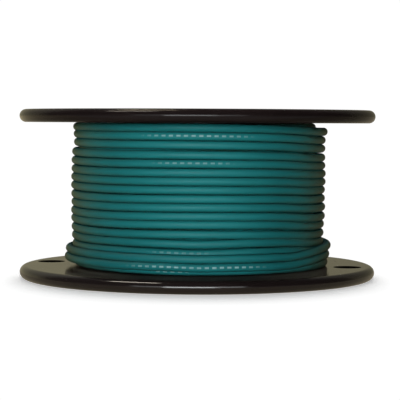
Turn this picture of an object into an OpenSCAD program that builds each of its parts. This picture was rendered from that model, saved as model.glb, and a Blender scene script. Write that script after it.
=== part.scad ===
// Wire spool: two moulded flanges bonded to a barrel and an arbor tube, wound
// with insulated stranded hook-up wire.
// Frame: +Z along the spool axis. Origin on the axis, in the plane the lower
// flange rests on. Front is -Y and left is -X. Millimetres and degrees.

/* [Flanges] */
// Outside diameter of both flanges
flange_d = 165.1; // [150:0.1:200]
// Thickness of the full-round rim
rim_t = 6; // [5:0.05:7]
// Radial width of the raised rim on the outer face
rim_w = 4.4; // [4:0.1:8]
// Thickness of the flat web
web_t = 2.8; // [2:0.1:3.4]
// Number of radial ribs on the outer face
rib_n = 8; // [4:2:16]
// Thickness of a radial rib
rib_t = 2.0; // [1.4:0.1:3]
// Height of the ribs above the web
rib_h = 1.75; // [1:0.05:2]
// Diameter of the two tie-off holes near the rim
tie_d = 12.7; // [8:0.1:14]
// Distance from a tie-off hole's centre to the edge of the flange
tie_inset = 12.15; // [12:0.05:16]
// Angle of the first tie-off hole
tie_a = -10.5; // [-22:0.5:0]

/* [Barrel and arbor] */
// Clear width between the flanges
traverse = 66.2; // [60:0.1:80]
// Outside diameter of the barrel the wire is wound on
barrel_d = 72; // [68:0.1:74]
// Wall of the barrel
barrel_wall = 2.5; // [2:0.1:3]
// Diameter of the arbor bore
bore_d = 16; // [12:0.1:17]
// Outside diameter of the arbor tube
arbor_d = 20.6; // [19.5:0.1:22]
// Chamfer at each mouth of the arbor bore
bore_chamfer = 0.6; // [0.2:0.1:1]

/* [Wire] */
// Diameter over the insulation
wire_d = 3.74; // [3:0.01:3.8]
// Inside diameter of the insulation
jacket_d = 2.3; // [2.3:0.05:2.6]
// Diameter of a solid copper core with the same metal area as the strands
core_d = 2.05; // [1.5:0.05:2.2]
// Radial step from one layer to the next
layer_step = 3.84; // [3.82:0.01:4]
// Diameter of one copper strand at the cut end
strand_d = 0.445; // [0.3:0.005:0.45]
// Where the outer end of the wire stops, measured round the axis
end_a = 101; // [70:1:112]

/* [Tape] */
// Width of the tape that holds the outer end down
tape_w = 19; // [15:1:25]
// Thickness of the tape
tape_t = 0.2; // [0.15:0.01:0.3]
// Angle that the tape covers
tape_span = 44; // [30:1:60]
// How far the cut end sticks out past the tape, as an angle
tape_gap = 9; // [5:1:20]

/* [Hidden] */
$fn = 96;

flange_color = "#1c1917";
tube_color = "#26221f";
jacket_color = "#1f7a78";
copper_color = "#b87333";
tape_color = "#15161a";

flange_r = flange_d / 2;
barrel_r = barrel_d / 2;
arbor_r = arbor_d / 2;
wire_r = wire_d / 2;
overall = traverse + 2 * rim_t;
low = rim_t;                  // inner face of the lower flange
high = rim_t + traverse;      // inner face of the upper flange
clear = 0.02;                 // running gap between parts that touch
cut_over = 1;                 // how far a cutter runs past what it cuts
hub_inset = 0.4;              // hub and arbor tube ends, in from the rim's outer plane

// Flange details
hub_r = 15;
hub_edge = 0.3;               // chamfer and flare of the hub boss
ring_outer_r = barrel_r - 0.3;
ring_inner_r = barrel_r - 3.2;
ring_draft = 0.2;             // slope on each side of the ring rib
rim_slope = 1.2;              // radial run from the web up to the rim
rib_start = hub_r - 1;        // the rib ends are sunk in the hub and the rim
rib_end = flange_r - rim_w + 0.5;
rib_sink = 0.5;               // depth of the ribs into the web
spigot_h = 6;
spigot_wall = 2;
spigot_gap = 0.15;            // between spigot and barrel
socket_h = 8;
socket_wall = 2.4;
root = 0.01;                  // depth of the spigot and socket into the web

// Start tail, and the notches it passes through
tail_bend = 6;                // bend radius, and so the Y of the straight part
tail_straight = 11;
spigot_notch = [8, 6];        // X and Y size
spigot_notch_lift = 0.005;    // keeps the notch just off the flange face
barrel_notch_y = [-1, 9.5];   // Y limits
barrel_notch_in = 3.5;        // how far it reaches inside the barrel wall

// Winding
layers = 6;
slim = 0.06;                  // difference between the full and slim sections
// Passes of wire across the front that fit side by side in a full layer.
passes = floor((traverse - wire_d - 2 * clear) / (wire_d + clear) + 0.5);
// Rise of the wire in half a turn, cut to a thousandth so that each half turn
// ends exactly where the next begins.
half_rise = floor((traverse - wire_d - 2 * clear) / (2 * passes - 1) * 1000) / 1000;

// Radius of the wire's centre line in layer n, counted from the barrel.
function layer_r(n) = barrel_r + wire_r + clear + layer_step * (n - 1);
// Odd layers climb from the lower flange, even layers come back down.
function layer_z(n, k) = n % 2 == 1
    ? low + wire_r + clear + half_rise * k
    : high - wire_r - clear - half_rise * k;
// Side of the axis for crossing k: left first, then right, and so on.
function side(k) = k % 2 == 0 ? -1 : 1;
// Points [x, z] where the wire crosses the XZ plane. A pass in front of the
// axis joins left to right.
function layer_points(n) = [for (k = [0 : 2 * passes - 1]) [side(k) * layer_r(n), layer_z(n, k)]];

// The outer turns lie on the last full layer and climb towards +Z.
outer_r = layer_r(layers + 1);
outer_z0 = low + wire_r + 2.55;
outer_rise = 1.925;           // rise in half a turn
outer_lead_a = 84;            // sweep of the free end before the first pass
outer_points = [for (k = [0 : 3]) [side(k) * outer_r, outer_z0 + outer_rise * k]];

// Strands at the cut end
strand_a = 12;                // length of the stranded end, as an angle
strand_gap_a = 0.02;          // gap between the solid core and the strands
strand_out_a = 0.15;          // how far the strands stick out of the jacket
strand_pitch = strand_d + 0.008;

// Tape
tape_lift = 0.04;             // gap between the tape and the wire
tape_margin = 0.6;            // from the top of the outer turns to the step
tape_step_run = 3;            // rise in Z of the slope down to the last full layer
tape_step_lift = 0.1;         // how much higher the slope lies on the outer face

// A sector of wire round the circle whose diameter joins left and right, both
// [x, z] in the XZ plane. Angles round that tilted circle count from right.
module sector(left, right, from, sweep) {
    middle = (left + right) / 2;
    radius = norm(right - left) / 2;
    tilt = atan2(right[1] - left[1], right[0] - left[0]);
    translate([middle[0], 0, middle[1]]) rotate([0, -tilt, 0]) rotate([0, 0, from])
        rotate_extrude(angle = sweep) translate([radius, 0]) children();
}

// A chain of half turns. The tangent at every joint runs along Y, so the chain
// is smooth. The first child is the section behind the axis and the second is
// the section in front of it.
module coil(points) {
    for (k = [0 : len(points) - 2])
        if (points[k][0] < 0) sector(points[k], points[k + 1], 180, 180) children(1);
        else sector(points[k + 1], points[k], 0, 180) children(0);
}

// Sections of the wire. shave takes a hair off the wall, so that where a full
// and a slim section meet, one end face lies wholly inside the other.
module jacket_section(shave = 0) difference() {
    circle(d = wire_d - shave, $fn = 32);
    circle(d = jacket_d + shave, $fn = 24);
}

module core_section(shave = 0) circle(d = core_d - shave, $fn = 24);

// Inner end of the wire: in through the notch in the barrel, then a bend that
// runs smoothly into the first pass.
module start_tail() {
    start = layer_points(1)[0];
    bend_x = start[0] + tail_bend;
    translate([bend_x, 0, start[1]]) rotate([0, 0, 90])
        rotate_extrude(angle = 90) translate([tail_bend, 0]) children(0);
    translate([bend_x, tail_bend, start[1]]) rotate([0, 90, 0])
        linear_extrude(height = tail_straight) children(1);
}

// Last free end of the outer turns, behind the axis.
module last_arc(from, sweep) {
    last = outer_points[3];
    sector([-outer_r, last[1] + outer_rise], last, from, sweep) children();
}

// Two passes in front, the pass between them, and the free ends behind.
// trim leaves room at the cut end for the strands.
module outer_turns(trim = 0) {
    first_z = outer_points[0][1];
    sector([-outer_r, first_z], [outer_r, first_z - outer_rise], 180, -outer_lead_a) children(0);
    coil(outer_points) {
        children(0);
        children(1);
    }
    last_arc(0, end_a - trim) children(0);
}

// Half section of the flange, with the outer face at the bottom.
module flange_profile() {
    web_z = rim_t - web_t;
    rib_z = web_z - rib_h;
    rim_middle = flange_r - rim_t / 2;
    socket_r = arbor_r + clear;
    // full-round rim
    translate([rim_middle, rim_t / 2]) circle(d = rim_t, $fn = 48);
    // hub boss, ring rib behind the barrel, web and rim
    polygon([
        [socket_r, hub_inset],
        [hub_r - hub_edge, hub_inset],
        [hub_r, hub_inset + hub_edge],
        [hub_r + hub_edge, web_z],
        [ring_inner_r, web_z],
        [ring_inner_r + ring_draft, rib_z],
        [ring_outer_r - ring_draft, rib_z],
        [ring_outer_r, web_z],
        [flange_r - rim_w - rim_slope, web_z],
        [flange_r - rim_w, 0],
        [rim_middle, 0],
        [rim_middle, rim_t],
        [socket_r, rim_t]]);
    // spigot inside the barrel
    translate([barrel_r - barrel_wall - spigot_gap - spigot_wall, rim_t - root])
        square([spigot_wall, spigot_h + root]);
    // socket round the arbor tube
    translate([socket_r, rim_t - root]) square([socket_wall, socket_h + root]);
}

module flange() difference() {
    union() {
        rotate_extrude() flange_profile();
        // radial ribs
        for (i = [0 : rib_n - 1]) rotate([0, 0, tie_a + 360 / rib_n * (i + 0.5)])
            translate([rib_start, -rib_t / 2, rim_t - web_t - rib_h])
                cube([rib_end - rib_start, rib_t, rib_h + rib_sink]);
    }
    // two tie-off holes
    for (a = [0, 180]) rotate([0, 0, tie_a + a])
        translate([flange_r - tie_inset, 0, -cut_over])
            cylinder(d = tie_d, h = rim_t + 2 * cut_over);
    // notch in the spigot for the start of the wire
    translate([-barrel_r, tail_bend - spigot_notch[1] / 2, rim_t + spigot_notch_lift])
        cube([spigot_notch[0], spigot_notch[1], spigot_h + cut_over]);
}

module lower_flange() color(flange_color) flange();

module upper_flange() color(flange_color)
    translate([0, 0, overall]) mirror([0, 0, 1]) flange();

module barrel() color(tube_color) difference() {
    translate([0, 0, low]) cylinder(d = barrel_d, h = traverse);
    translate([0, 0, low - cut_over])
        cylinder(r = barrel_r - barrel_wall, h = traverse + 2 * cut_over);
    // notch where the wire comes out of the barrel
    translate([-barrel_r - cut_over, barrel_notch_y[0], low - cut_over])
        cube([
            cut_over + barrel_wall + barrel_notch_in,
            barrel_notch_y[1] - barrel_notch_y[0],
            wire_d + 2]);
}

module arbor_tube() color(tube_color) {
    bore_r = bore_d / 2;
    top = overall - hub_inset;
    rotate_extrude() polygon([
        [bore_r + bore_chamfer, hub_inset],
        [arbor_r, hub_inset],
        [arbor_r, top],
        [bore_r + bore_chamfer, top],
        [bore_r, top - bore_chamfer],
        [bore_r, hub_inset + bore_chamfer]]);
}

module wire_layer(n) color(jacket_color) coil(layer_points(n)) {
    jacket_section();
    jacket_section(slim);
}

module wire_layer_first() {
    wire_layer(1);
    color(jacket_color) start_tail() {
        jacket_section();
        jacket_section(slim);
    }
}

module wire_outer_turns() color(jacket_color) outer_turns() {
    jacket_section();
    jacket_section(slim);
}

module conductor_layer(n) color(copper_color) coil(layer_points(n)) {
    core_section();
    core_section(slim);
}

module conductor_layer_first() {
    conductor_layer(1);
    color(copper_color) start_tail() {
        core_section();
        core_section(slim);
    }
}

module conductor_outer_turns() color(copper_color) outer_turns(strand_a) {
    core_section();
    core_section(slim);
}

// Nineteen strands in a 1 + 6 + 12 lay, shown at the cut end.
module conductor_strands() color(copper_color)
    for (i = [-2 : 2], j = [-2 : 2])
        if (abs(i + j) <= 2)
            last_arc(end_a - strand_a + strand_gap_a, strand_a + strand_out_a - strand_gap_a)
                translate([(i + j / 2) * strand_pitch, j * sqrt(3) / 2 * strand_pitch])
                    circle(d = strand_d, $fn = 20);

// A strip of tape pressed over the turns just short of the cut end, and down
// onto the last full layer.
module end_tape() color(tape_color) {
    over_r = outer_r + wire_r + tape_lift;
    under_r = layer_r(layers) + wire_r + tape_lift;
    step_z = outer_z0 + 4 * outer_rise + wire_r + tape_margin;
    slope_z = step_z + tape_step_run;
    bottom_z = step_z + 1.2 - tape_w * 0.55;
    top_z = bottom_z + tape_w - 1.6; // the slope takes up some of the width
    rotate([0, 0, end_a - tape_gap - tape_span]) rotate_extrude(angle = tape_span)
        polygon([
            [over_r, bottom_z],
            [over_r + tape_t, bottom_z],
            [over_r + tape_t, step_z + tape_step_lift],
            [under_r + tape_t, slope_z + tape_step_lift],
            [under_r + tape_t, top_z],
            [under_r, top_z],
            [under_r, slope_z],
            [over_r, step_z]]);
}

lower_flange();
upper_flange();
barrel();
arbor_tube();
wire_layer_first();  // wire_layer_1
wire_layer(2);  // wire_layer_2
wire_layer(3);  // wire_layer_3
wire_layer(4);  // wire_layer_4
wire_layer(5);  // wire_layer_5
wire_layer(6);  // wire_layer_6
wire_outer_turns();
conductor_layer_first();  // conductor_layer_1
conductor_layer(2);  // conductor_layer_2
conductor_layer(3);  // conductor_layer_3
conductor_layer(4);  // conductor_layer_4
conductor_layer(5);  // conductor_layer_5
conductor_layer(6);  // conductor_layer_6
conductor_outer_turns();
conductor_strands();
end_tape();
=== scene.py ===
# A wire spool: teal PVC wire wound between two black flanges, its cut end held by tape.
# It stands on its lower flange with its axis on Z. The camera looks along +Y, so the
# front is -Y and the left is -X. Lengths are in metres.
import math

import bpy
import numpy as np
from mathutils import Matrix, Vector

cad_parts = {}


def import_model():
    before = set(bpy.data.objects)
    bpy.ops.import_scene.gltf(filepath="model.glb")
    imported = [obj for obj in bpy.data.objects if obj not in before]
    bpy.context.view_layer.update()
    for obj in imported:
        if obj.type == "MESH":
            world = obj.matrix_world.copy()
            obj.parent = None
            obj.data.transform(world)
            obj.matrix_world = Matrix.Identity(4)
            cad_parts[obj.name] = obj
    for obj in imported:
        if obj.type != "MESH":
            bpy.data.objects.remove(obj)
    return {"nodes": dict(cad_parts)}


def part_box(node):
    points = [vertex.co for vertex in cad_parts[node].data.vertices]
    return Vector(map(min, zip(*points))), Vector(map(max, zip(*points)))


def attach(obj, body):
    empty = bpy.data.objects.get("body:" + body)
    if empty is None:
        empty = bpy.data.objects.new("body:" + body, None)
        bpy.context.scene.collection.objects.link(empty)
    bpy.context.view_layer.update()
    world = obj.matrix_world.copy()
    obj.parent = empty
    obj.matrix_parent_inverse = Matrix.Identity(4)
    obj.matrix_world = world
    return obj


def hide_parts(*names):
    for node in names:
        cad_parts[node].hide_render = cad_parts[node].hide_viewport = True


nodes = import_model()["nodes"]


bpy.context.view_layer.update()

# ---------------------------------------------------------------- dimensions
MM = 0.001
WIRE_R = 1.915 * MM
CORE_R = 1.025 * MM
BORE_R = 1.16 * MM                # hole in the jacket at the cut end
BORE_DEPTH = 4 * MM
STRAND_R = 0.222 * MM
WINDING_GAP = 0.02 * MM           # between the winding and each flange

layer_low, layer_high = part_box("wire_layer_6")
flange_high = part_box("lower_flange")[1]
FLANGE_R = max(flange_high.x, flange_high.y)
LOW_Z = layer_low.z - WINDING_GAP     # inner face of the lower flange
HIGH_Z = layer_high.z + WINDING_GAP   # inner face of the upper flange
RIM_MID = (HIGH_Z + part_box("upper_flange")[1].z) / 2
INNER_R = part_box("wire_layer_5")[1].x - WIRE_R

# Two opposite tie-off holes through the flanges.
TIE_R = 0.0704
TIE_ANGLE = math.radians(-10.5)
TIE_HOLES = [(side * TIE_R * math.cos(TIE_ANGLE), side * TIE_R * math.sin(TIE_ANGLE))
             for side in (1, -1)]


# ---------------------------------------------------------------- shader graphs
class Graph:
    """A short way to write the nodes of a material or a world."""

    def __init__(self, owner, output="ShaderNodeOutputMaterial"):
        self.owner = owner
        owner.use_nodes = True
        self.tree = owner.node_tree
        self.tree.nodes.clear()
        self.output = self.add(output)

    def add(self, kind, inputs=None, **properties):
        node = self.tree.nodes.new(kind)
        for key, value in properties.items():
            setattr(node, key, value)
        for key, value in (inputs or {}).items():
            self.put(node, key, value)
        return node

    def put(self, node, key, value):
        """Link a socket or a node's first output, or set a plain value."""
        socket = node.inputs[key]
        if isinstance(value, bpy.types.Node):
            value = value.outputs[0]
        if isinstance(value, bpy.types.NodeSocket):
            self.tree.links.new(value, socket)
        else:
            socket.default_value = (*value, 1) if socket.type == "RGBA" else value

    def place(self):
        return self.add("ShaderNodeTexCoord").outputs["Object"]

    def xyz(self, vector):
        return self.add("ShaderNodeSeparateXYZ", {0: vector}).outputs

    def math(self, operation, a, b=0.0, c=None, clamp=False):
        inputs = {0: a, 1: b} if c is None else {0: a, 1: b, 2: c}
        return self.add("ShaderNodeMath", inputs, operation=operation, use_clamp=clamp).outputs[0]

    def times(self, a, b, clamp=False):
        return self.math("MULTIPLY", a, b, clamp=clamp)

    def vector(self, operation, *vectors):
        node = self.add("ShaderNodeVectorMath", dict(enumerate(vectors)), operation=operation)
        return node.outputs["Value" if operation in ("DOT_PRODUCT", "LENGTH") else "Vector"]

    def remap(self, value, over, to=(0, 1), smooth=False):
        """Map the range over onto the range to, held at both ends."""
        return self.add("ShaderNodeMapRange", dict(enumerate((value, *over, *to))),
                        interpolation_type="SMOOTHSTEP" if smooth else "LINEAR").outputs[0]

    def noise(self, vector, scale, detail=3.0, rough=0.5, distortion=0.0):
        return self.add("ShaderNodeTexNoise", {
            "Vector": vector, "Scale": scale, "Detail": detail,
            "Roughness": rough, "Distortion": distortion}).outputs["Fac"]

    def mix(self, factor, a, b):
        # sockets 6, 7 and output 2 are the colour ones
        return self.add("ShaderNodeMix", {0: factor, 6: a, 7: b}, data_type="RGBA").outputs[2]

    def bump(self, height, distance, strength, normal=None):
        node = self.add("ShaderNodeBump",
                        {"Height": height, "Distance": distance, "Strength": strength})
        if normal is not None:
            self.put(node, "Normal", normal)
        return node

    def scaled(self, vector, scale):
        return self.add("ShaderNodeMapping", {"Vector": vector, "Scale": scale})

    def ramp(self, factor, stops):
        """Colour ramp; stops are (position, colour) from first to last."""
        node = self.add("ShaderNodeValToRGB", {"Fac": factor})
        elements = node.color_ramp.elements
        for end in (0, -1):
            elements[end].position = stops[end][0]
            elements[end].color = (*stops[end][1], 1)
        for position, colour in stops[1:-1]:
            elements.new(position).color = (*colour, 1)
        return node

    def close(self, shader):
        self.put(self.output, "Surface", shader)
        return self.owner

    def finish(self, **inputs):
        """Principled surface; underscores in the input names stand for spaces."""
        named = {key.replace("_", " "): value for key, value in inputs.items()}
        return self.close(self.add("ShaderNodeBsdfPrincipled", named))


def material_graph(name):
    return Graph(bpy.data.materials.new(name))


# ---------------------------------------------------------------- materials
BLACK = (0, 0, 0)
LEVEL = (1, 1, 0)                 # times a vector, leaves its horizontal part
DASH_PITCH = 3.2 * MM


def ink_mask(graph, place, along, around):
    """A worn line of even bars along the wire, each longer than it is tall."""
    dash = graph.math("FRACT", graph.times(along, 1 / DASH_PITCH))
    dash = graph.times(graph.remap(dash, over=(0.08, 0.14), smooth=True),
                       graph.remap(dash, over=(0.62, 0.68), to=(1, 0), smooth=True))
    ink = graph.add("ShaderNodeAttribute", attribute_name="ink").outputs["Fac"]
    centre = graph.add("ShaderNodeAttribute", attribute_name="ink_at").outputs["Fac"]
    away = graph.math("ABSOLUTE", graph.math("SUBTRACT", around, centre))
    away = graph.math("MINIMUM", away, graph.math("SUBTRACT", 1.0, away))
    band = graph.remap(away, over=(0.028, 0.040), to=(1, 0), smooth=True)
    worn = graph.remap(graph.noise(place, scale=90.0, detail=1.0),
                       over=(0.35, 0.65), to=(0.65, 1.0))
    return graph.times(graph.times(dash, band), graph.times(ink, worn), clamp=True)


def pvc_material():
    graph = material_graph("teal_pvc")
    place = graph.place()
    # the UV map holds the length along the wire and the turn round it, 0 facing outwards
    along, around, _ = graph.xyz(graph.add("ShaderNodeUVMap", uv_map="wire"))
    wide = graph.noise(place, scale=38.0, rough=0.55)
    fine = graph.noise(place, scale=900.0, rough=0.6)
    streak_place = graph.add("ShaderNodeCombineXYZ", {
        "X": graph.times(along, 18.0), "Y": graph.times(around, 22.0)})
    streak = graph.noise(streak_place, scale=1.0, detail=2.0, rough=0.6)

    # teal, with broad clouds, darker streaks and fine pale specks
    base = graph.mix(graph.remap(wide, over=(0.3, 0.7)),
                     (0.0190, 0.335, 0.350), (0.0230, 0.380, 0.395))
    base = graph.mix(graph.remap(streak, over=(0.35, 0.75), to=(0.0, 0.28)),
                     base, (0.010, 0.255, 0.270))
    base = graph.mix(graph.remap(fine, over=(0.55, 0.8), to=(0.0, 0.10)),
                     base, (0.07, 0.50, 0.52))

    # painted reflection: slightly olive towards grazing view
    turn = graph.math("MINIMUM", around, graph.math("SUBTRACT", 1.0, around))
    facing = graph.add("ShaderNodeLayerWeight", {"Blend": 0.5}).outputs["Facing"]
    olive = graph.times(
        graph.remap(facing, over=(0.20, 0.95), to=(0.0, 0.80), smooth=True),
        graph.remap(turn, over=(0.08, 0.22), to=(1.0, 0.12), smooth=True))
    base = graph.mix(olive, base, (0.150, 0.150, 0.025))
    # painted shade: darker in the grooves between the turns
    shaded_groove = graph.remap(turn, over=(0.10, 0.25), to=(0.0, 1.0), smooth=True)
    base = graph.mix(graph.times(shaded_groove, 0.82), base, (0.0, 0.054, 0.064))

    # painted shade: the turns low on the spool, near the lower flange, are a little darker
    low = graph.remap(graph.xyz(place)[2], over=(0.016, 0.029), to=(0.15, 0.0), smooth=True)
    base = graph.mix(low, base, BLACK)

    # painted shade: slightly darker between the part that faces the viewer and the sides
    incoming = graph.add("ShaderNodeNewGeometry").outputs["Incoming"]
    level = [graph.vector("NORMALIZE", graph.vector("MULTIPLY", vector, LEVEL))
             for vector in (incoming, place)]
    aside = graph.math("SUBTRACT", 1.0, graph.vector("DOT_PRODUCT", *level))
    rise, fall = (graph.remap(aside, over=over, to=(0.0, 0.17), smooth=True)
                  for over in ((0.0, 0.25), (0.25, 0.55)))
    base = graph.mix(graph.math("SUBTRACT", rise, fall, clamp=True), base, BLACK)

    mark = ink_mask(graph, place, along, around)
    base = graph.mix(graph.times(mark, 0.75), base, (0.56, 0.94, 0.93))

    # painted reflection: reflections show it in dull warm tones, paler towards its sides
    mirrored = graph.add("ShaderNodeLightPath").outputs["Is Glossy Ray"]
    dull = graph.mix(graph.remap(aside, over=(0.10, 0.75), to=(0.0, 1.0)),
                     (0.042, 0.036, 0.028), (0.42, 0.36, 0.28))
    base = graph.mix(graph.times(mirrored, 0.93), base, dull)

    texture = graph.math("ADD", wide, graph.times(fine, 0.5))
    height = graph.math("ADD", graph.times(streak, 0.6), graph.times(fine, 0.4))
    return graph.finish(
        Base_Color=base,
        Roughness=graph.remap(texture, over=(0.5, 1.0), to=(0.46, 0.60)),
        Specular_IOR_Level=graph.remap(shaded_groove, over=(0.0, 1.0), to=(0.26, 0.02)),
        Normal=graph.bump(height, distance=0.00004, strength=0.55))


def black_material(name, rough, tint=(0.0190, 0.0118, 0.0118), scratch=0.5, shine=0.5, holes=()):
    """Black plastic; rough is its range of roughness, scratch the strength of its marks."""
    graph = material_graph(name)
    place = graph.place()
    cloud = graph.noise(place, scale=45.0, detail=4.0, rough=0.55)
    fine = graph.noise(place, scale=1400.0, detail=2.0)

    # hair-thin handling marks, in two directions
    along_y = graph.noise(graph.scaled(place, (1.0, 0.045, 1.0)),
                          scale=900.0, detail=1.0, distortion=0.6)
    along_x = graph.noise(graph.scaled(place, (0.05, 1.0, 1.0)),
                          scale=760.0, detail=1.0, distortion=0.8)
    marks = graph.math("MAXIMUM", graph.remap(along_y, over=(0.70, 0.74)),
                       graph.remap(along_x, over=(0.71, 0.75)))
    marks = graph.times(marks, graph.remap(cloud, over=(0.4, 0.62), to=(0.0, 1.0)))
    specks = graph.noise(place, scale=2600.0, detail=1.0, rough=0.4)
    dust = graph.remap(specks, over=(0.74, 0.80), to=(0.0, 0.35))

    base = graph.mix(graph.remap(cloud, over=(0.3, 0.7)), tint, tuple(v * 1.45 for v in tint))
    base = graph.mix(graph.times(marks, 0.10 * scratch), base, (0.16, 0.15, 0.13))
    base = graph.mix(graph.times(dust, 0.12), base, (0.35, 0.33, 0.30))
    roughness = graph.math("ADD", graph.remap(cloud, over=(0.25, 0.75), to=rough),
                           graph.times(marks, 0.14 * scratch))
    height = graph.math("ADD", graph.times(fine, 0.5), graph.times(marks, -0.5))
    soft_edges = graph.add("ShaderNodeBevel", {"Radius": 0.00035}, samples=6)

    # painted shade: dark, dull walls inside the tie-off holes
    for x, y in holes:
        offset = graph.vector("MULTIPLY_ADD", place, LEVEL, (-x, -y, 0))
        shaded_wall = graph.remap(graph.vector("LENGTH", offset),
                           over=(0.00637, 0.00650), to=(1.0, 0.0))
        base = graph.mix(shaded_wall, base, (0.0025, 0.0018, 0.0012))
        shine = graph.times(shine, graph.remap(shaded_wall, over=(0, 1), to=(1.0, 0.04)))
        roughness = graph.math("MAXIMUM", roughness, graph.times(shaded_wall, 0.8))
    return graph.finish(
        Base_Color=base, Roughness=roughness, Specular_IOR_Level=shine,
        Normal=graph.bump(height, distance=0.00002, strength=0.30, normal=soft_edges))


def copper_material():
    graph = material_graph("bare_copper")
    grain = graph.noise(graph.place(), scale=700.0, rough=0.6)
    base = graph.mix(graph.remap(grain, over=(0.35, 0.7)), (0.86, 0.41, 0.24), (0.60, 0.26, 0.14))
    return graph.finish(
        Base_Color=base, Metallic=0.72,
        Roughness=graph.remap(grain, over=(0.3, 0.7), to=(0.26, 0.46)),
        Normal=graph.bump(grain, distance=0.00002, strength=0.4))


def tape_material():
    graph = material_graph("black_vinyl_tape")
    place = graph.place()
    grain = graph.noise(place, scale=1100.0, rough=0.6)
    drawn = graph.noise(graph.scaled(place, (1, 1, 0.12)), scale=260.0, detail=2.0)
    base = graph.mix(graph.remap(drawn, over=(0.3, 0.7)),
                     (0.012, 0.012, 0.013), (0.022, 0.022, 0.024))
    height = graph.math("ADD", grain, drawn)
    return graph.finish(
        Base_Color=base, Specular_IOR_Level=0.5,
        Roughness=graph.remap(grain, over=(0.3, 0.7), to=(0.34, 0.50)),
        Normal=graph.bump(height, distance=0.00003, strength=0.5))


pvc = pvc_material()
gloss = black_material("black_gloss_plastic", rough=(0.10, 0.15), holes=TIE_HOLES)
satin = black_material("black_satin_plastic", rough=(0.12, 0.16), shine=0.15, holes=TIE_HOLES)
core = black_material("black_core_plastic", rough=(0.30, 0.42), tint=(0.016, 0.014, 0.012),
                      scratch=0.3)
copper = copper_material()
vinyl = tape_material()


# ---------------------------------------------------------------- mesh helpers
def mesh_object(name, verts, faces, material, smooth=True):
    mesh = bpy.data.meshes.new(name)
    mesh.from_pydata(verts, [], faces)
    mesh.update()
    mesh.materials.append(material)
    ob = bpy.data.objects.new(name, mesh)
    bpy.context.scene.collection.objects.link(ob)
    if smooth:
        mesh.polygons.foreach_set("use_smooth", np.ones(len(mesh.polygons), bool))
    return ob


def unit(vectors):
    return vectors / np.linalg.norm(vectors, axis=1)[:, None]


# Rounded lip at a tube's end: (step outwards, shrink), as shares of its radius.
LIP = ((0.03, 0.02), (0.05, 0.06), (0.055, 0.12))


def tube(name, path, radius, material, sides=24, caps=(True, True), marks=None,
         length_from=0.0, bore=0.0):
    """A round wire swept along path, which runs anticlockwise seen from above.

    The UV map "wire" holds the length in metres and the turn round the wire.
    marks is the strength and the place of the ink at each point of the path.
    bore is the radius of a hole sunk into the far end.
    """
    count = len(path)
    tangent = unit(np.gradient(path, axis=0))
    out = unit(path * [1, 1, 0])
    out = unit(out - (out * tangent).sum(1)[:, None] * tangent)
    up = np.cross(out, tangent)
    angle = np.arange(sides) * 2 * math.pi / sides
    ring = (out[:, None, :] * np.cos(angle)[None, :, None]
            + up[:, None, :] * np.sin(angle)[None, :, None])
    verts = (path[:, None, :] + ring * radius).reshape(-1, 3).tolist()

    steps = np.linalg.norm(np.diff(path, axis=0), axis=1)
    length = np.concatenate([[0], np.cumsum(steps)]) + length_from
    i, j = np.meshgrid(np.arange(count - 1), np.arange(sides), indexing="ij")
    corners = ((0, 0), (0, 1), (1, 1), (1, 0))
    faces = np.stack([(i + di) * sides + (j + dj) % sides for di, dj in corners], -1)
    faces = faces.reshape(-1, 4).tolist()
    uvs = np.stack([np.stack([length[i + di], (j + dj) / sides], -1) for di, dj in corners], 2)
    uvs = uvs.reshape(-1, 2).tolist()

    def add_face(indices, outward):
        a, b, c = (np.array(verts[index]) for index in indices[:3])
        if np.dot(np.cross(b - a, c - a), outward) < 0:
            indices = indices[::-1]
        faces.append(indices)
        uvs.extend([(0.0, 0.5)] * len(indices))

    def add_ring(last, points, outward):
        """Join a new ring of points to the last one."""
        new = list(range(len(verts), len(verts) + sides))
        verts.extend(points.tolist())
        for s in range(sides):
            following = (s + 1) % sides
            add_face([last[s], last[following], new[following], new[s]], outward[s])
        return new

    for at, sign, wanted in ((0, -1, caps[0]), (count - 1, 1, caps[1])):
        if not wanted:
            continue
        around, axis = ring[at], tangent[at]
        last = list(range(at * sides, (at + 1) * sides))
        for depth, shrink in LIP:
            points = path[at] + around * radius * (1 - shrink) + axis * sign * radius * depth
            last = add_ring(last, points, around)
        if sign > 0 and bore:
            mouth = np.tile(axis, (sides, 1))
            for depth, outward in ((LIP[-1][0] * radius, mouth), (-BORE_DEPTH, -around)):
                last = add_ring(last, path[at] + around * bore + axis * depth, outward)
        add_face(last, axis * sign)

    ob = mesh_object(name, verts, faces, material)
    ob.data.uv_layers.new(name="wire").data.foreach_set("uv", np.array(uvs, float).ravel())
    if marks is None:
        marks = np.zeros((2, count))
    for key, values in zip(("ink", "ink_at"), marks):
        # the caps carry no ink
        values = np.pad(np.repeat(values, sides), (0, len(verts) - count * sides))
        ob.data.attributes.new(key, "FLOAT", "POINT").data.foreach_set("value", values)
    return ob


def smooth_table(stations, values, t):
    """Cubic through the stations, evaluated at t, with slopes from their neighbours."""
    stations, values = np.asarray(stations, float), np.asarray(values, float)
    slope = np.gradient(values, stations)
    i = np.clip(np.searchsorted(stations, t, side="right") - 1, 0, len(stations) - 2)
    width = stations[i + 1] - stations[i]
    x = (t - stations[i]) / width
    return ((1 + 2 * x) * (1 - x) ** 2 * values[i] + x * (1 - x) ** 2 * width * slope[i]
            + x * x * (3 - 2 * x) * values[i + 1] + x * x * (x - 1) * width * slope[i + 1])


def hand_over(ob, node):
    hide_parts(node)
    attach(ob, "root")


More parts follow.
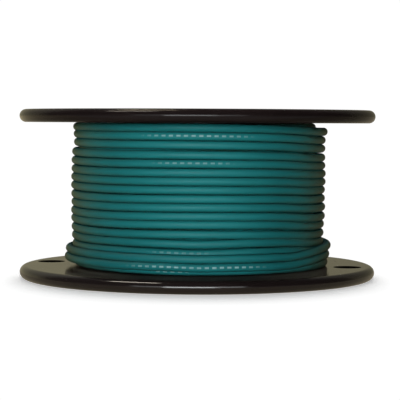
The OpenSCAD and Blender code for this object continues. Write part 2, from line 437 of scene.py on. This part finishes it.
# ---------------------------------------------------------------- path of the wire
# One row a turn: height of its centre line over the middle of the upper rim at the
# left, front and right, then its centre-line radius at the left and right. All in
# units of the flange radius.
TURNS = [
    (-0.0568, -0.0687, -0.0842, 0.6764, 0.7107),
    (-0.0988, -0.1137, -0.1314, 0.6747, 0.7004),
    (-0.1449, -0.1600, -0.1781, 0.6735, 0.6980),
    (-0.1983, -0.2122, -0.2287, 0.6830, 0.6984),
    (-0.2461, -0.2587, -0.2736, 0.6863, 0.6999),
    (-0.2939, -0.3054, -0.3186, 0.6874, 0.7014),
    (-0.3389, -0.3508, -0.3637, 0.6885, 0.7006),
    (-0.3857, -0.3968, -0.4087, 0.6885, 0.6982),
    (-0.4347, -0.4445, -0.4566, 0.6884, 0.6980),
    (-0.4798, -0.4907, -0.5045, 0.6873, 0.6995),
    (-0.5266, -0.5385, -0.5553, 0.6884, 0.6988),
    (-0.5700, -0.5833, -0.6005, 0.6883, 0.6941),
    (-0.6191, -0.6329, -0.6500, 0.6866, 0.6911),
    (-0.6660, -0.6735, -0.6960, 0.6838, 0.6890),
    (-0.7126, -0.7200, -0.7415, 0.6800, 0.6870),
    (-0.7590, -0.7716, -0.7865, 0.6780, 0.6860),
    (-0.8057, -0.8150, -0.8150, 0.6780, 0.7150),
    # the outer turns
    (-0.7872, -0.7949, -0.7683, 0.7236, 0.7246),
    (-0.7420, -0.7483, -0.7185, 0.7186, 0.7315),
]
START_TURN = -0.5
SPLIT = 16.75                     # where the two modelled lengths meet, at the back
END_TURN = 18 + 0.5 + 100 / 360   # where the wire is cut, at the back
CROSSINGS = (17.40, 17.80, 18.40)  # where the outer turns pass from valley to valley
STEP = 1 / 200

# How each pass bows in front, from left to right, in hundredths of the wire's
# diameter: the common bow with a weight for each turn, then the odd ones by turn.
BOW_AT = [0, 0.076, 0.110, 0.145, 0.180, 0.215, 0.250, 0.284, 0.317, 0.346, 0.370, 0.398,
          0.4275, 0.5]
BOW = [0, -3, -1, 2, 7, 12, 16, 18, 18, 17, 12, 2, -5, 0]
BOW_WEIGHT = [0.75, 0.85, 0.85, 0.85, 0.95, 0.9, 0.9, 0.9, 1.0, 1.2, 1.4, 1.5, 1.2]
ODD_BOWS = {
    13: [0, -6, -5, -2, -2, -3, -6, 6, 17, 19, 17, 9, -3, 0],
    14: [0, -7, -6, -4, -5, -9, -11, 0, 12, 16, 19, 14, -1, 0],
    17: [0, 0, 2, 3, 7, 8, -2, -3, -10, -21, -24, -14, -2, 0],
    18: [0, 0, 2, 1, 1, 0, -6, -9, -15, -23, -33, -22, -7, 0],
}
BOWS = {turn: np.array(BOW) * weight for turn, weight in enumerate(BOW_WEIGHT)} | ODD_BOWS

# Stretches of ink bars, each fading at both ends: from, to (in turns), where round
# the wire, and how strong.
MARKS = [
    # in front
    (1.180, 1.320, 0.02, 0.85), (4.195, 4.295, 0.03, 0.55), (14.190, 14.270, 0.03, 0.30),
    (17.165, 17.335, 0.01, 0.90), (16.195, 16.245, 0.98, 0.60),
    # at the back
    (0.630, 0.740, 0.02, 0.8), (3.790, 3.870, 0.98, 0.6), (5.550, 5.700, 0.03, 0.8),
    (8.870, 8.960, 0.01, 0.6), (10.550, 10.640, 0.02, 0.7), (12.570, 12.650, 0.97, 0.5),
]


def bow(t):
    """Rise of the centre line above its plain path, in flange radii."""
    rise = np.zeros(len(t))
    for turn, curve in BOWS.items():
        pick = (np.floor(t) == turn) & (t - turn < 0.5)
        rise[pick] = smooth_table(BOW_AT, curve, t[pick] - turn)
    return rise / 100 * 2 * WIRE_R / FLANGE_R


def wire_path(t):
    """Centre line of the wire at t turns; whole numbers are at the left."""
    top = (layer_high.z - RIM_MID - WIRE_R) / FLANGE_R
    bottom = (LOW_Z + WIRE_R - RIM_MID) / FLANGE_R
    # stations: turns, height, radius
    stations = [(-0.5, top, INNER_R / FLANGE_R), (-0.25, top, 0.668)]
    for turn, (z_left, z_front, z_right, r_left, r_right) in enumerate(TURNS):
        stations += [(turn, z_left, r_left),
                     (turn + 0.25, z_front, (r_left + r_right) / 2 + 0.0008),
                     (turn + 0.5, z_right, r_right)]
        if turn + 1 < len(TURNS):
            following = TURNS[turn + 1]
            stations.append((turn + 0.75, (z_right + following[0]) / 2,
                             (r_right + following[3]) / 2))
    stations += [(18.75, -0.7020, 0.7200), (19.0, -0.6950, 0.7180)]
    turns, heights, radii = zip(*stations)

    r = smooth_table(turns, radii, t)
    for crossing in CROSSINGS:
        r = r + 0.0045 * np.exp(-((t - crossing) / 0.07) ** 2)
    z = np.clip(smooth_table(turns, heights, t) + bow(t), bottom, top)
    # slight unevenness from hand guiding
    wobble = (0.0007 * np.sin(t * 2 * math.pi * 3.7 + 1.3)
              + 0.0005 * np.sin(t * 2 * math.pi * 7.3 + 0.4))
    angle = math.pi + t * 2 * math.pi
    r = (r + wobble * 0.6) * FLANGE_R
    return np.stack([r * np.cos(angle), r * np.sin(angle), RIM_MID + z * FLANGE_R], -1)


def ink_marks(t):
    """Strength of the ink and its place round the wire."""
    strength, around = np.zeros(len(t)), np.zeros(len(t))
    for start, end, place, peak in MARKS:
        inside = (t > start) & (t < end)
        u = (t[inside] - start) / (end - start)
        strength[inside] = peak * np.clip(6 * u * (1 - u), 0, 1)
        around[inside] = place
    return strength, around


# ---------------------------------------------------------------- jackets and cores
inner_t = np.arange(START_TURN, SPLIT + STEP / 2, STEP)
outer_t = np.arange(SPLIT, END_TURN + STEP / 2, STEP)
inner_path = wire_path(inner_t)
inner_jacket = tube("wire_layer_6_jacket", inner_path, WIRE_R, pvc, caps=(True, False),
                    marks=ink_marks(inner_t))
outer_jacket = tube("wire_outer_turns_jacket", wire_path(outer_t), WIRE_R, pvc,
                    caps=(False, True), marks=ink_marks(outer_t), length_from=7.0, bore=BORE_R)
hand_over(inner_jacket, "wire_layer_6")
hand_over(outer_jacket, "wire_outer_turns")

# The copper inside is one round core for each length, up to the stranded end.
STRANDED = 12 / 360               # length of the stranded end, in turns
core_t = np.arange(SPLIT, END_TURN - STRANDED, STEP)
inner_core = tube("conductor_layer_6_core", inner_path[:-1], CORE_R, copper, sides=16)
outer_core = tube("conductor_outer_turns_core", wire_path(core_t), CORE_R, copper, sides=16)
hand_over(inner_core, "conductor_layer_6")
hand_over(outer_core, "conductor_outer_turns")


# ---------------------------------------------------------------- strands at the cut end
# Rings of strands: how many, and the radius of the ring.
STRAND_RINGS = ((1, 0.0), (6, 0.452 * MM), (12, 0.885 * MM))
STRAND_TWIST = 0.5                # radians over the stranded end


def strand_bundle():
    t = np.linspace(END_TURN - STRANDED + 0.001, END_TURN + 0.0006, 30)
    middle = wire_path(t)
    out = unit(middle * [1, 1, 0])
    up = np.cross(out, unit(np.gradient(middle, axis=0)))
    strands = []
    for count, ring_r in STRAND_RINGS:
        for s in range(count):
            angle = 2 * math.pi * s / count + np.linspace(0, STRAND_TWIST, len(t))
            path = (middle + out * (ring_r * np.cos(angle))[:, None]
                    + up * (ring_r * np.sin(angle))[:, None])
            strands.append(tube("strand", path, STRAND_R, copper, sides=12))
    bpy.ops.object.select_all(action="DESELECT")
    for ob in strands:
        ob.select_set(True)
    bpy.context.view_layer.objects.active = strands[0]
    bpy.ops.object.join()
    strands[0].name = "conductor_strands_cut_end"
    return strands[0]


hand_over(strand_bundle(), "conductor_strands")

# ---------------------------------------------------------------- end tape
TAPE_ROWS, TAPE_COLS = 110, 80    # steps round the spool, points up the tape
TAPE_THICK = 0.2 * MM
TAPE_CORNER = 1.2 * MM
TAPE_CLEARANCE = 0.05 * MM
TAPE_TAUT = 0.86                  # 1 stretches straight across, 0 follows the wires


def tape_skin(angle, grid):
    """Radius of the tape's inner face at the heights in grid."""
    t = angle / (2 * math.pi) - 0.5 + np.arange(1, 20)
    wires = wire_path(t[t <= END_TURN])
    wire_r = np.hypot(wires[:, 0], wires[:, 1])
    inside = np.clip(1 - ((grid[:, None] - wires[None, :, 2]) / WIRE_R) ** 2, 0, None)
    tops = np.where(inside > 0, wire_r[None, :] + np.sqrt(inside) * WIRE_R, 0.0).max(1)
    tops = np.maximum(tops, wire_r.min())
    # convex hull over the tops of the wires
    hull = []
    for z, r in zip(grid, tops):
        while len(hull) > 1 and ((hull[-1][1] - hull[-2][1]) * (z - hull[-2][0])
                                 <= (r - hull[-2][1]) * (hull[-1][0] - hull[-2][0])):
            hull.pop()
        hull.append((z, r))
    hull_z, hull_r = zip(*hull)
    skin = tops + TAPE_TAUT * (np.interp(grid, hull_z, hull_r) - tops)
    # smoothed, but never cutting into a wire
    reach = 9
    kernel = np.exp(-0.5 * (np.arange(-reach, reach + 1) / 3.5) ** 2)
    padded = np.pad(skin, reach, mode="edge")
    return np.maximum(np.convolve(padded, kernel / kernel.sum(), mode="valid"), tops)


def tape_piece():
    """Tape across the last turns, sagging a little between them, with rounded corners."""
    z_low, z_high = (corner.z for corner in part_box("end_tape"))
    wire_end = (END_TURN - 18.5) * 2 * math.pi
    first, last = wire_end - math.radians(52), wire_end - math.radians(9)
    grid = np.linspace(z_low - 2 * MM, z_high + 2 * MM, 260)
    outer_skin, inner_skin = [], []
    for i in range(TAPE_ROWS + 1):
        angle = first + (last - first) * i / TAPE_ROWS
        skin = tape_skin(angle, grid)
        from_end = min(angle - first, last - angle) * skin.mean()
        short = max(0.0, TAPE_CORNER - from_end)
        cut = TAPE_CORNER - math.sqrt(max(0.0, TAPE_CORNER ** 2 - short ** 2))
        z = np.linspace(z_low + cut, z_high - cut, TAPE_COLS)
        wave = (0.035 * MM * np.sin(z / MM * 1.9 + angle * 9)
                * np.sin(angle * 41 + z / MM * 0.35))
        r = np.interp(z, grid, skin) + TAPE_CLEARANCE + np.abs(wave)
        for skin_verts, radii in ((inner_skin, r), (outer_skin, r + TAPE_THICK)):
            skin_verts += [(a * math.cos(angle), a * math.sin(angle), b)
                           for a, b in zip(radii, z)]

    half = len(outer_skin)
    faces = []
    for i in range(TAPE_ROWS):
        for j in range(TAPE_COLS - 1):
            a = i * TAPE_COLS + j
            b = a + TAPE_COLS
            faces.append((a, b, b + 1, a + 1))
            faces.append((half + a + 1, half + b + 1, half + b, half + a))
    edge = ([(i, 0) for i in range(TAPE_ROWS + 1)]
            + [(TAPE_ROWS, j) for j in range(1, TAPE_COLS)]
            + [(i, TAPE_COLS - 1) for i in range(TAPE_ROWS - 1, -1, -1)]
            + [(0, j) for j in range(TAPE_COLS - 2, 0, -1)])
    border = [i * TAPE_COLS + j for i, j in edge]
    for a, b in zip(border, border[1:] + border[:1]):
        faces.append((b, a, half + a, half + b))
    ob = mesh_object("end_tape_strip", outer_skin + inner_skin, faces, vinyl)
    ob.data.set_sharp_from_angle(angle=math.radians(50))
    return ob


hand_over(tape_piece(), "end_tape")

# ---------------------------------------------------------------- carried-over CAD nodes
NODE_MATERIALS = {"lower_flange": gloss, "upper_flange": satin, "end_tape": vinyl}
for name, ob in nodes.items():
    if name.startswith("wire_"):
        material = pvc
    elif name.startswith("conductor"):
        material = copper
    else:
        material = NODE_MATERIALS.get(name, core)
    ob.data.materials.clear()
    ob.data.materials.append(material)

# ---------------------------------------------------------------- floor and world
WHITE = (1, 1, 1)
WHITE_LEVEL = 1.02                # brightness of the plain white surroundings
FLOOR_GLOW = 0.47
FLOOR_HALF, FLOOR_Z = 8, -0.0002
HORIZON = (0.30, 0.275, 0.175)
CEILING = (0.22, 0.22, 0.21)


def floor_material():
    """Takes soft shadows near the spool and runs into plain white further out."""
    graph = material_graph("pale_floor")
    place = graph.place()
    x, y, _ = graph.xyz(place)
    distance = graph.vector("LENGTH", place)
    # 1 straight in front of the spool, 0 beside and behind it
    ahead = graph.math("MAXIMUM", graph.math(
        "DIVIDE", graph.times(y, -1.0), graph.math("MAXIMUM", distance, 0.001)), 0.0)

    # the shaded part starts at this radius and reaches further in front
    start = 0.083
    reach = graph.math("MULTIPLY_ADD", graph.math("POWER", ahead, 2.0), 0.034, 0.090)
    near = graph.math("DIVIDE", graph.math("SUBTRACT", distance, start),
                      graph.math("SUBTRACT", reach, start))
    near = graph.remap(near, over=(0.0, 1.0), to=(1.0, 0.0))
    tint = graph.mix(graph.noise(place, scale=5.0), (0.98, 0.98, 0.98), (1.02, 1.02, 1.02))
    diffuse = graph.add("ShaderNodeBsdfDiffuse", {"Color": tint})
    glow = graph.add("ShaderNodeEmission", {"Color": WHITE, "Strength": FLOOR_GLOW})
    lit = graph.add("ShaderNodeAddShader", {0: diffuse, 1: glow})
    white = graph.add("ShaderNodeEmission", {"Color": WHITE, "Strength": WHITE_LEVEL})
    seen = graph.add("ShaderNodeMixShader", {0: near, 1: white, 2: lit})

    # painted light: other rays meet a dim warm glow from the floor; in reflections this painted
    # glow is paler left and in front
    path = graph.add("ShaderNodeLightPath").outputs
    warm = graph.mix(graph.remap(x, over=(-0.30, -0.10), to=(1.0, 0.0), smooth=True),
                     (0.30, 0.26, 0.18), (0.56, 0.48, 0.30))
    in_front = graph.remap(graph.times(ahead, distance),
                           over=(0.09, 0.15), to=(0.0, 1.0), smooth=True)
    mirrored = graph.mix(in_front, warm, (0.50, 0.50, 0.46))
    unseen = graph.add("ShaderNodeEmission", {
        "Color": graph.mix(path["Is Glossy Ray"], (0.055, 0.050, 0.040), mirrored)})
    return graph.close(graph.add("ShaderNodeMixShader", {
        0: path["Is Camera Ray"], 1: unseen, 2: seen}))


def stage_floor():
    corners = [(x * FLOOR_HALF, y * FLOOR_HALF, FLOOR_Z)
               for x, y in ((-1, -1), (1, -1), (1, 1), (-1, 1))]
    mesh_object("floor", corners, [(0, 1, 2, 3)], floor_material(), smooth=False)


def studio_world():
    """White to the camera; to the spool, a dim room, warm low down and grey overhead."""
    world = bpy.data.worlds.new("studio")
    graph = Graph(world, "ShaderNodeOutputWorld")
    path = graph.add("ShaderNodeLightPath").outputs
    x, y, z = graph.xyz(graph.add("ShaderNodeTexCoord").outputs["Generated"])
    between = tuple(a * 0.6 + b * 0.2 for a, b in zip(HORIZON, CEILING))
    colour = graph.ramp(z, [(0.0, HORIZON), (0.30, between), (0.85, CEILING)])

    # brighter behind the spool than beside it or in front, and a little to the left
    depth_levels = ((0.0, 0.10), (0.50, 0.14), (0.66, 0.30), (0.78, 1.15), (0.96, 1))
    depth = graph.ramp(graph.math("MULTIPLY_ADD", y, 0.5, 0.5),
                       [(at, (v, v, v)) for at, v in depth_levels])
    side = graph.remap(x, over=(-0.3, 0.3), to=(1.25, 0.65))
    # much weaker as diffuse light than in reflections
    soft = graph.remap(path["Is Diffuse Ray"], over=(0, 1), to=(1, 0.15))
    strength = graph.times(graph.times(depth, side), soft)
    room = graph.add("ShaderNodeBackground", {"Color": colour, "Strength": strength})
    white = graph.add("ShaderNodeBackground", {"Color": WHITE, "Strength": WHITE_LEVEL})
    return graph.close(graph.add("ShaderNodeMixShader", {
        0: path["Is Camera Ray"], 1: room, 2: white}))


scene = bpy.context.scene
stage_floor()
scene.world = studio_world()

# ---------------------------------------------------------------- lights
LIGHT_TARGET = Vector((0, 0, 0.04))
COOL, COOL_SHINE, NEAR_WHITE = (0.90, 0.985, 1.0), (0.94, 0.99, 1.0), (1.0, 0.99, 0.97)
SHINE_ONLY, NO_SHINE = "visible_diffuse", "visible_glossy"   # the ray switched off

# name, place, size, watts, colour, ray switched off, run of the long side
LIGHTS = [
    ("key", (-0.23, -1.25, 0.125), (0.70, 0.34), 7.9, COOL, NO_SHINE, None),
    ("key_shine", (-0.09, -1.25, 0.16), (0.72, 0.34), 8.2, COOL_SHINE, SHINE_ONLY, None),
    # the same shine fades out to both sides
    ("shine_right", (0.46, -1.20, 0.21), (0.36, 0.30), 1.1, COOL_SHINE, SHINE_ONLY, None),
    ("shine_left", (-0.66, -1.10, 0.21), (0.40, 0.30), 0.65, COOL_SHINE, SHINE_ONLY, None),
    # two strip lamps overhead, seen only as thin lines on the rims
    ("lamp_a", (-0.29, 0.25, 1.185), (0.37, 0.10), 3.0, (1.0, 0.86, 0.60), SHINE_ONLY,
     (0.285, -0.20, 0.13)),
    ("lamp_b", (-0.52, -0.215, 1.06), (0.46, 0.10), 3.3, (1.0, 0.92, 0.78), SHINE_ONLY,
     (0.32, -0.31, 0.12)),
    # these light the floor and the far side
    ("over", (0.0, 0.25, 1.3), (0.5, 0.4), 5.0, NEAR_WHITE, NO_SHINE, None),
    ("back", (0.10, 1.30, 0.34), (0.80, 0.34), 4.2, (0.98, 1.0, 0.98), NO_SHINE, None),
    ("rear", (0.0, 0.9, 1.3), (1.6, 1.0), 7.0, NEAR_WHITE, NO_SHINE, None),
]


def softbox(name, place, size, watts, colour, hidden, run):
    light = bpy.data.lights.new(name, "AREA")
    light.shape = "RECTANGLE"
    light.size, light.size_y = size
    light.energy = watts
    light.color = colour
    ob = bpy.data.objects.new(name, light)
    scene.collection.objects.link(ob)
    ob.location = place
    back = Vector(place) - LIGHT_TARGET
    if run:
        z = back.normalized()
        x = (Vector(run) - Vector(run).dot(z) * z).normalized()
        ob.rotation_euler = Matrix((x, z.cross(x), z)).transposed().to_euler()
    else:
        ob.rotation_euler = (-back).to_track_quat("-Z", "Y").to_euler()
    setattr(ob, hidden, False)


for row in LIGHTS:
    softbox(*row)

# ---------------------------------------------------------------- camera
CAMERA_AT = (0, -9.359 * FLANGE_R, RIM_MID - 0.0277 * FLANGE_R)
CAMERA_DOWN = math.radians(2.745)
CAMERA_ROLL = math.radians(0.247)

lens = bpy.data.cameras.new("camera")
lens.sensor_width = 36.0
lens.lens = 148.9
lens.shift_x, lens.shift_y = 0.0070, 0.00125
lens.clip_start, lens.clip_end = 0.01, 50
camera = bpy.data.objects.new("camera", lens)
scene.collection.objects.link(camera)
camera.matrix_world = (Matrix.Translation(CAMERA_AT)
                       @ Matrix.Rotation(math.radians(90) - CAMERA_DOWN, 4, "X")
                       @ Matrix.Rotation(CAMERA_ROLL, 4, "Z"))
scene.camera = camera
scene.view_settings.view_transform = "Standard"
scene.view_settings.look = "None"
